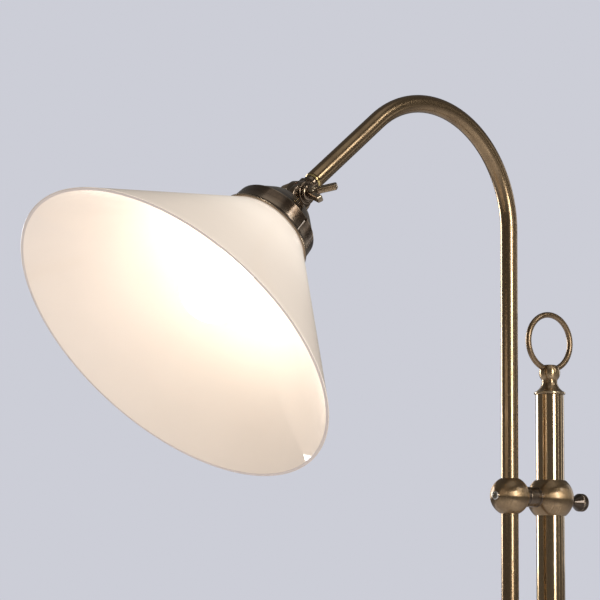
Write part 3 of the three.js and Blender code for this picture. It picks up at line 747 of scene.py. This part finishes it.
def build_knuckle():
    top = KNUCKLE_REACH - 2.3
    arm_half = knuckle_half("arm_half_knuckle", ARM_END_FRAME, [
        (0, 8.4), (4.4, 8.4, 1), (5.3, 9.8, 0.8), (5.3, top, 0.4), (4.4, top), (4.4, 26, 0.4),
        (0, 26)], 1, ARM_WEB)
    placed(finish(soften(arm_half, 0.3), dark_cast), "arm", "dark_brass", "arm_knuckle")

    ferrule = turning("ferrule_rings", [
        (4.7, KNUCKLE_REACH - 2), (5.4, KNUCKLE_REACH - 2, 0.3), (5.75, KNUCKLE_REACH - 1.55, 0.35),
        (5.2, KNUCKLE_REACH - 1.15, 0.15), (5.7, KNUCKLE_REACH - 0.75, 0.35),
        (5.4, KNUCKLE_REACH - CLEAR, 0.2),
        (4.7, KNUCKLE_REACH - CLEAR)], ARM_END_FRAME, sides=96)
    placed(finish(ferrule, bright_brass), "arm", "bright_brass", "tube_ferrule")

    shade_half = knuckle_half("shade_half_knuckle", SHADE_FRAME, [
        (0, -8.4), (4.6, -8.4, 1), (5.5, -10.2, 1.2), (5.6, -12.6, 1), (5.6, -14, 0.3), (4.3, -14),
        (4.3, -10), (0, -10)],
        -1, SHADE_WEB)
    placed(finish(soften(shade_half, 0.3), dark_cast), "shade", "dark_brass", "shade_knuckle")

    nut = turning("pivot_nut", [
        (PIVOT_R + CLEAR, 6.5, 0.2), (6.9, 6.5, 0.3), (6.9, 7.5, 0.4), (6.5, 7.9, 0.3), (6.3, 9, 1),
        (4.9, 14.4, 0.8),
        (4, 15.4, 0.8), (PIVOT_R + CLEAR, 15.4, 0.2)], PIVOT_FRAME @ ALONG_Y, sides=96)
    placed(finish(nut, turned_brass), "arm", "antique_brass", "knuckle_nut")

    tilted = PIVOT_FRAME @ Matrix.Rotation(WING_TURN, 4, "Y")
    screw = turning("wing_bolt", [
        (0, -14.6), (2.5, -14.6, 0.4), (2.5, 6.5), (4.8, 6.5, 0.25), (4.8, 7.2, 0.3), (3.6, 7.7, 0.4),
        (3.6, 9.4, 0.4),
        (4.6, 9.8, 0.3), (4.6, 12.6, 0.6), (3.4, 13.8, 0.5), (0, 13.9)], tilted @ AWAY_Y, sides=96)
    outline = [(0.8, 10.2), (4.2, 10.2), (6.4, 14.4), (10.5, 22.8), (10.3, 23.4), (7.6, 24.7), (6.9, 24.5),
               (2.8, 15.8), (0.8, 13.4)]
    ears = [slab("ear", outline, 4.5, 1.0, tilted @ Matrix.Rotation(turn, 4, "Y") @ AWAY_Y)
            for turn in (0, math.pi)]
    joined(screw, *ears)
    placed(finish(soften(screw, 0.35), cast_brass), "tilt_screw", "antique_brass", "wing_screw")


# ---- shade, gallery and holder -----------------------------------------------------------------

def build_shade():
    rim_r, rim_z, wall_t, rim_face = 113.6, -145, 3, 2.4
    neck_r, shoulder_r, shoulder_z = 27.8, 32.2, -46.4
    long_side, parts = 40, 24
    slope = (rim_r - shoulder_r) / (shoulder_z - rim_z)
    wall = wall_t / math.cos(math.atan2(rim_r - shoulder_r, shoulder_z - rim_z))
    outside = [(neck_r, -31, 1.0), (neck_r, -42.6, 2.5), (shoulder_r, shoulder_z, 1.5), (rim_r, rim_z, 0.7)]
    inside = [(rim_r - rim_face, rim_z, 0.6), (shoulder_r - wall, shoulder_z - 0.6, 5),
              (neck_r - wall_t, -42, 3), (neck_r - wall_t, -31, 1.0)]
    profile = outside + inside
    long_cone = []
    for a, b in zip(profile, profile[1:]):
        long_cone.append(a)
        if math.hypot(b[0] - a[0], b[1] - a[1]) > long_side:
            long_cone += [(a[0] + (b[0] - a[0]) * i / parts, a[1] + (b[1] - a[1]) * i / parts)
                          for i in range(1, parts)]
    long_cone.append(profile[-1])
    shade = turning("opal_shade", long_cone, SHADE_FRAME, sides=256)
    mark = shade.data.attributes.new("inside", "FLOAT", "POINT")
    ground = shade.data.attributes.new("ground", "FLOAT", "POINT")
    for vertex in shade.data.vertices:
        r, z = math.hypot(vertex.co.x, vertex.co.y) / MM, vertex.co.z / MM
        outer_r = rim_r - (z - rim_z) * slope
        mark.data[vertex.index].value = 1.0 if r < outer_r - rim_face * 0.6 else 0.0
        ground.data[vertex.index].value = 1.0 if z < rim_z + 0.15 else 0.0
    placed(finish(shade, opal_glass), "shade", "opal_glass", "glass_shade")


def build_gallery():
    skin_t = 0.9
    dome_top, band_top, lip = -14.3, -30.4, -44.5
    slit_count, slit_start, slit_width = 3, -95, 1.1
    dome = [(8, dome_top), (13.4, -15), (18, -17.2), (23.2, -23.4), (27.6, band_top + 1.4)]
    over = [(*point, 4) for point in dome[:-1]] + [(*dome[-1], 0.5)]
    under = [(r - skin_t / 2, z - skin_t, 3) for r, z in reversed(dome)]
    shell = turning("gallery_spun", [
        (4.3, dome_top, 0.2), *over, (28.6, band_top + 0.9, 0.3), (29.2, band_top + 0.1, 0.35),
        (29.3, band_top - 1, 0.3),
        (30.2, -40.6, 0.5), (30.2, -41.4, 0.3), (31.0, lip + 1.9, 0.8), (31.9, lip + 1.2, 0.3),
        (31.9, lip + 0.2, 0.2), (30.6, lip + 0.3, 0.2), (30.2 - skin_t, -41.8, 0.8),
        (29.3 - skin_t, band_top - 1, 0.6), *under, (4.3, dome_top - skin_t, 0.2)], SHADE_FRAME, sides=192)
    slits = []
    outline = [(24, -30), (36, -30), (36, -50), (24, -50)]
    for i in range(slit_count):
        turn = Matrix.Rotation(math.radians(slit_start + 360 * i / slit_count), 4, "Z")
        slits.append(slab("slit", outline, slit_width, 0, SHADE_FRAME @ turn))
    carved(shell, *slits)
    placed(finish(shell, band_brass), "shade", "dark_brass", "gallery")

    bead = turning("gallery_beading", [
        (30.9, lip + 0.9, 0.2), (31.9, lip + 1.6, 0.3), (32.35, lip + 1.0, 0.35), (32.35, lip + 0.35, 0.3),
        (31.9, lip, 0.3), (30.9, lip + 0.1, 0.2)], SHADE_FRAME, ripple=(220, 0.3, lip - 1, lip + 3))
    placed(finish(bead, bead_brass), "shade", "dark_brass")


def build_holder():
    cap = turning("holder_cap_pressed", [
        (4.3, -19, 0.2), (9, -19, 1), *arc(12.5, -25, 6, 88, 10), (19, -25.4, 0.6), (19, -31, 0.3),
        (17.8, -31, 0.3),
        (17.8, -25.6, 0.6), (12.5, -20.2, 2), (4.3, -20.2, 0.2)], SHADE_FRAME, sides=96)
    placed(finish(cap, bright_brass), "shade", "bright_brass", "holder_cap")
    rib_count, rib_top, rib_pitch = 6, -39, 3.6
    ribs = []
    for i in range(rib_count):
        z = rib_top - i * rib_pitch
        ribs += [(18.7, z, 0.5), (18.1, z - 0.8, 0.4), (18.1, z - 2.4, 0.4), (18.7, z - 3.2, 0.5)]
    body = turning("holder_skirt", [
        (16.2, -31.3, 0.3), (19.4, -31.3, 0.6), (19.4, -36, 0.6), (18.7, -37, 0.4),
        *ribs, (19.4, -61.6, 0.5),
        (19.4, -63, 0.6), (16.6, -63, 0.5), (16.6, -36, 0.3), (16.2, -35.6, 0.2)], SHADE_FRAME, sides=128)
    placed(finish(body, phenolic), "shade", "black_plastic", "holder_body")

    thread_count, thread_top, thread_pitch = 6, -45.5, 3.2
    threads = []
    for i in range(thread_count):
        z = thread_top - i * thread_pitch
        threads += [(13.4, z, 0.8), (12.5, z - thread_pitch / 2, 0.8)]
    screw_cap = turning("bulb_screw_cap", [
        (0, -40.5), (0, -38.5), (4.4, -38.5, 0.4), (5.6, -39.6, 0.6), (10.6, -42, 1), (12.6, -44, 0.6),
        *threads,
        (13.2, -64.6, 0.3), (12.9, -66.2, 0.3), (0, -66.2)], SHADE_FRAME, sides=96)
    placed(finish(screw_cap, aluminium), "shade", "bulb_cap", "bulb_cap")

    radius, neck_r, thick = 22.5, 17, 1
    start = math.degrees(math.acos(neck_r / radius))
    bulb = turning("golf_ball_bulb", [
        (12.6, -66.5, 0.2), (12.6, -71, 2), (14, -76.5, 4), *arc(0, BULB_CENTRE, radius, start, -90, 40),
        *arc(0, BULB_CENTRE, radius - thick, -90, start, 40), (14 - thick, -76.5, 4), (12.6 - thick, -71, 2),
        (12.6 - thick, -66.5, 0.2)], SHADE_FRAME, sides=128)
    placed(finish(bulb, frosted), "shade", "bulb_glass", "bulb_glass")


# ---- hidden pieces that keep their CAD shape -----------------------------------------------------

def finish_cad(material, *names):
    for name in names:
        soften(finish(frame["nodes"][name], material), 0.15, 2)


# ---- stage, lights and camera ------------------------------------------------------------------

def build_stage():
    half, gap = 6.0, 0.0002
    glow = 0.25
    pale, greyer = (0.62, 0.62, 0.66), (0.6, 0.6, 0.64)
    bm = bmesh.new()
    corners = [bm.verts.new((x * half, y * half, 0)) for x, y in ((-1, -1), (1, -1), (1, 1), (-1, 1))]
    bm.faces.new(corners)
    floor = new_object("floor", bm)
    floor.location.z = min(corner[2] for corner in cad_box) - gap
    surface = plain("pale_floor", pale, greyer, 0.7, 40, 0.0002)
    shader = surface.node_tree.nodes["Principled BSDF"]
    shader.inputs["Emission Color"].default_value = (*pale, 1)
    shader.inputs["Emission Strength"].default_value = glow
    finish(floor, surface)


WHITE = (1.0, 0.985, 0.965)
WASHES = (                      # name, azimuth from the camera's, width in metres, watts
    ("key_wash", 32, 0.75, 41), ("rim_wash", -134, 1.5, 34), ("side_wash", 108, 2.6, 4),
    ("front_wash", -66, 1.5, 14))
BOXES = (
    ("key_box", 33, 0.54, 28), ("rim_box", -137, 0.85, 30), ("side_box", 68, 0.14, 0.7),
    ("side_window", 100, 0.4, 1.1), ("back_window", 134, 0.55, 3.2))
WASH_HEIGHT, BOX_HEIGHT = 2.6, 1.1
ROOM = (0.13, 0.125, 0.12)      # what surfaces see round about them
WALL_PAINT = (0.605, 0.615, 0.68)


def outward(azimuth, elevation):
    """The direction from the lamp out to a light or the camera. Azimuth 0 is -Y."""
    level = math.cos(elevation)
    return Vector((math.sin(azimuth) * level, -math.cos(azimuth) * level, math.sin(elevation)))


def area_light(name, azimuth, elevation, distance, size, power, aim):
    """A rectangle of light that faces aim from an azimuth and elevation in degrees."""
    back = outward(math.radians(azimuth), math.radians(elevation))
    data = bpy.data.lights.new(name, "AREA")
    data.shape = "RECTANGLE"
    data.size, data.size_y = size
    data.energy = power
    data.color = WHITE
    lamp = bpy.data.objects.new(name, data)
    bpy.context.scene.collection.objects.link(lamp)
    lamp.location = aim + back * distance
    lamp.rotation_euler = back.to_track_quat("Z", "Y").to_euler()
    return lamp


def build_lights(aim, facing):
    """Washes light the matt surfaces, and boxes are what the brass and the glass reflect."""
    for name, turn, width, power in WASHES:
        wash = area_light(name, facing + turn, 3, 2.5, (width, WASH_HEIGHT), power, aim)
        wash.visible_glossy = False
    for name, turn, width, power in BOXES:
        box = area_light(name, facing + turn, 9, 2.4, (width, BOX_HEIGHT), power, aim)
        box.visible_diffuse = False
    area_light("upper_box", facing + 66, 30, 2.4, (0.3, 0.6), 4.5, aim)
    sky = area_light("soft_ceiling", facing + 20, 70, 2.3, (1.6, 1.6), 3.2, aim)
    sky.visible_diffuse = False
    ceiling = area_light("ceiling", 0, 89, 2.2, (2.6, 2.6), 28, aim)
    ceiling.visible_glossy = False
    world = bpy.data.worlds.new("studio")
    world.use_nodes = True
    bpy.context.scene.world = world
    tree = world.node_tree
    background = tree.nodes["Background"]
    rays = tree.nodes.new("ShaderNodeLightPath")
    mix = tree.nodes.new("ShaderNodeMix")
    mix.data_type = "RGBA"
    mix.inputs["A"].default_value = (*ROOM, 1)
    mix.inputs["B"].default_value = (*WALL_PAINT, 1)
    tree.links.new(rays.outputs["Is Camera Ray"], mix.inputs["Factor"])
    tree.links.new(mix.outputs["Result"], background.inputs["Color"])
    bpy.context.scene.view_settings.view_transform = "Standard"


def build_camera():
    """The photograph's view: from the arm's side, a little below the clamp, looking slightly up."""
    azimuth, elevation, roll = math.radians(-41.7), math.radians(-7.75), math.radians(0.59)
    distance = 1.45
    aim = Vector((-0.1515, 0.0976, BEND_Z - 0.0504))
    back = outward(azimuth, elevation)
    data = bpy.data.cameras.new("view")
    data.sensor_width = 36
    data.lens = 124.1
    camera = bpy.data.objects.new("view", data)
    bpy.context.scene.collection.objects.link(camera)
    turn = back.to_track_quat("Z", "Y").to_matrix().to_4x4() @ Matrix.Rotation(roll, 4, "Z")
    camera.matrix_world = Matrix.Translation(aim + back * distance) @ turn
    bpy.context.scene.camera = camera
    return aim, math.degrees(azimuth)


aim, facing = build_camera()
build_base()
build_pole()
build_finial()
for place in ("upper", "lower"):
    build_clamp(place)
build_arm()
build_knuckle()
build_shade()
build_gallery()
build_holder()
finish_cad(felt, "base_pad")
finish_cad(iron, "base_weight")
finish_cad(steel, "base_washer", "base_bolt", "pole_plug", "gallery_nut", "nipple")
finish_cad(nylon, "upper_liner", "lower_liner")
finish_cad(fibre, "knuckle_washer")
finish_cad(porcelain, "holder_insert")
finish_cad(bright_brass, "holder_contact", "holder_thread")
build_stage()
build_lights(aim, facing)
